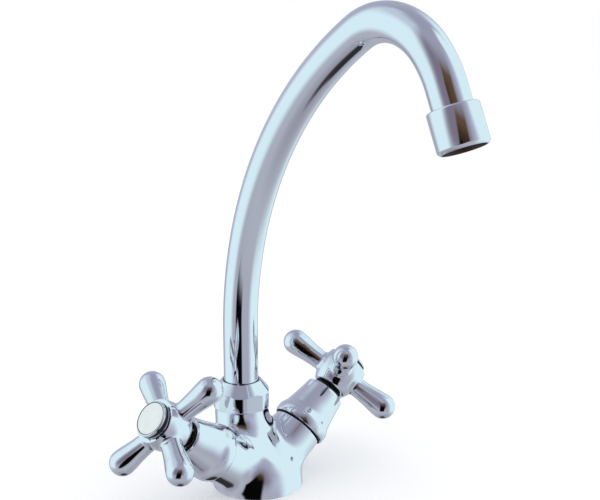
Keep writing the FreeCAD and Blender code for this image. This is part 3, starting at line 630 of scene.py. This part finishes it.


# Cross handles: each a hub with four ball-ended arms, cast in zinc, polished and plated.
# The arms leave the hub in small fillets, and are a little hollow before they swell to the balls.
# The stem behind the hub and the face round it carry painted shade, a near-black finish for the shaded gap.

handle_chrome = chrome("handle_chrome", 110.0, 0.00002)

REST_TURN = {"left": 57.0, "right": 41.0}
ARM_REACH = 32.6
BALL_RADIUS = 7.5
BALL_RELAXING = 0.05
STEM_RADIUS = 5.75
HUB_REAR = 64.0
HUB_SHOULDER = 69.2
HUB_FRONT = 88.9
PAINTED_SHADE_RADIUS = 8.6
PAINTED_SHADE_HEIGHT = 69.9
HANDLE_VOXEL = 0.5
HANDLE_PASSES = 22


def handle_arm(angle):
    """One arm, turned about its own length and laid out from the hub."""
    outline = [(5.7, 2), (5.85, 13), (5.92, 15.5), (5.99, 17), (6.10, 19), (6.28, 21), (6.48, 23), (6.73, 25),
               (7.03, 27), (7.28, 29), (7.46, 31)]
    ball = BALL_RADIUS + BALL_RELAXING
    for step in range(15):
        lift = math.pi / 2 * step / 14.5
        outline.append((ball * math.cos(lift), ARM_REACH + ball * math.sin(lift)))
    arm = turned("arm_form", outline, 48)
    lay = Matrix.Rotation(math.radians(angle), 4, "Z") @ Matrix.Rotation(math.pi / 2, 4, "Y")
    return settle(arm, Matrix.Translation((0, 0, CROSS_DISTANCE)) @ lay)


def cross_handle(side):
    hub = turned("hub_form", [
        (STEM_RADIUS, HUB_REAR - 5), (STEM_RADIUS, HUB_SHOULDER), (9.6, HUB_SHOULDER), (10.7, 70.3),
        (11.5, 72.0), (12.3, 74.0), (12.9, 76.0), (13.35, 78.0), (13.65, 80.0), (13.75, 82.0),
        (13.6, 84.0), (13.25, 86.0), (12.7, 88.0), (12.45, HUB_FRONT), (12.2, HUB_FRONT + 5)], 96)
    arms = [handle_arm(90 * quarter) for quarter in range(4)]
    cross = melt(side + "_cross_handle_chrome", [hub] + arms, HANDLE_VOXEL, HANDLE_PASSES)
    sawn(cross, (0, 0, HUB_REAR * MM), (0, 0, -1))
    sawn(cross, (0, 0, HUB_FRONT * MM), (0, 0, 1))
    bevelled(cross, 0.4, 3, 50)
    cross.data.materials.append(handle_chrome)
    # Painted shade on the stem behind the hub and the face round it.
    lined(cross, painted_shade_recess, lambda radius, height: radius < PAINTED_SHADE_RADIUS and height < PAINTED_SHADE_HEIGHT)
    settle(cross, arm_matrix(side) @ Matrix.Rotation(math.radians(REST_TURN[side]), 4, "Z"))
    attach(cross, side + "_handle")
    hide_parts(side + "_cross_handle")


for side in SIDES:
    cross_handle(side)


# Index buttons: a knurled chrome ring screws into each hub and carries a bare white disc.
# The knurl is a band of fine straight ridges round the ring's rim. Its grooves and the ring's inner edge
# carry painted shade, a near-black finish.

KNURLS = 52
RING_HEIGHT = 3.5
RING_RADIUS = 10.8
RING_BORE = 9.25
BUTTON_FLOOR = HUB_FRONT + 1.7


def index_ring(side):
    top = HUB_FRONT + RING_HEIGHT
    ring = turned(side + "_index_ring_chrome", [
        (9.8, HUB_FRONT), (10.7, HUB_FRONT + 0.2), (RING_RADIUS, HUB_FRONT + 0.4), (RING_RADIUS, top - 1.3),
        (10.6, top - 1.1), (10.65, top - 0.9), (10.6, top - 0.55), (10.45, top - 0.25), (10.2, top - 0.05),
        (9.9, top), (9.5, top - 0.08), (RING_BORE, top - 0.3), (RING_BORE, BUTTON_FLOOR)],
        KNURLS * 4)
    cut_knurls(ring, 10.78, HUB_FRONT + 0.35, top - 1.25)
    apply_all(ring)
    ring.data.materials.append(turned_chrome)
    # Painted shade in the knurl grooves and on the ring's inner edge.
    lined(ring, painted_shade_recess, lambda radius, height: radius < 9.45 or (
        10.1 < radius < 10.45 and HUB_FRONT + 0.5 < height < top - 1.4))
    settle(ring, arm_matrix(side))
    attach(ring, side + "_handle")
    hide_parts(side + "_index_ring")


def cut_knurls(ring, radius, low, high):
    """Presses every second pair of rim edges inwards."""
    bpy.context.tool_settings.mesh_select_mode = (True, False, False)
    for vertex in ring.data.vertices:
        across = Vector((vertex.co.x, vertex.co.y))
        on_band = low * MM < vertex.co.z < high * MM and across.length > radius * MM
        place = round(math.atan2(across.y, across.x) / (2 * math.pi) * KNURLS * 4) % 4
        vertex.select = on_band and place in (0, 1)
    bpy.ops.object.select_all(action="DESELECT")
    ring.select_set(True)
    bpy.context.view_layer.objects.active = ring
    bpy.ops.object.mode_set(mode="EDIT")
    bpy.ops.mesh.select_mode(type="VERT")
    bpy.ops.transform.resize(value=(0.95, 0.95, 1), center_override=(0, 0, 0))
    bpy.ops.object.mode_set(mode="OBJECT")


def white_enamel():
    """Glossy white plastic under a thin clear coat."""
    paint = moulded("white_button", (0.80, 0.86, 0.84), 0.22, 400.0, 0.000004, mottle=0.02)
    shader = paint.node_tree.nodes["Principled BSDF"]
    shader.inputs["Coat Weight"].default_value = 0.6
    shader.inputs["Coat Roughness"].default_value = 0.06
    return paint


button_white = white_enamel()


def index_disc(side):
    disc = turned(side + "_index_disc_white", [
        (9.15, BUTTON_FLOOR), (9.15, BUTTON_FLOOR + 1.4), (9.05, BUTTON_FLOOR + 1.65),
        (8.8, BUTTON_FLOOR + 1.8), (8.4, BUTTON_FLOOR + 1.86), (4.0, BUTTON_FLOOR + 1.89),
        (1.0, BUTTON_FLOOR + 1.9)], 128)
    apply_all(disc)
    settle(disc, arm_matrix(side))
    disc.data.materials.append(button_white)
    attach(disc, side + "_handle")
    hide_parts(side + "_index_disc")


for side in SIDES:
    index_ring(side)
    index_disc(side)


# Inner works: turned brass headworks, spindles and spout bush, ceramic discs, steel clips and screws,
# rubber rings and the nylon slip ring. They are seen only in the gaps and where the part is opened up.

def machined(name, color, roughness):
    """Turned metal with fine tool lines round its axis, mottled a little by handling."""
    metal = moulded(name, color, roughness, 2200.0, 0.000006, mottle=0.08)
    metal.node_tree.nodes["Principled BSDF"].inputs["Metallic"].default_value = 1.0
    return metal


turned_brass = machined("turned_brass", (0.62, 0.44, 0.18), 0.28)
spring_steel = machined("spring_steel", (0.42, 0.42, 0.44), 0.3)
white_ceramic = moulded("white_ceramic", (0.78, 0.75, 0.68), 0.3, 1200.0, 0.000004, mottle=0.03)
clear_nylon = moulded("clear_nylon", (0.72, 0.70, 0.62), 0.45, 800.0, 0.00001, mottle=0.04)

FINISHES = {
    "spout_bush": turned_brass, "slip_ring": clear_nylon, "base_gasket": black_rubber,
    "spout_oring_lower": black_rubber, "spout_oring_upper": black_rubber,
}
for side in SIDES:
    FINISHES.update({
        side + "_headwork": turned_brass, side + "_spindle": turned_brass,
        side + "_fixed_disc": white_ceramic, side + "_moving_disc": white_ceramic,
        side + "_circlip": spring_steel, side + "_handle_screw": spring_steel,
        side + "_seat_seal": black_rubber, side + "_headwork_oring": black_rubber,
        side + "_spindle_oring": black_rubber,
    })
for name, finish in FINISHES.items():
    dressed(name, finish)
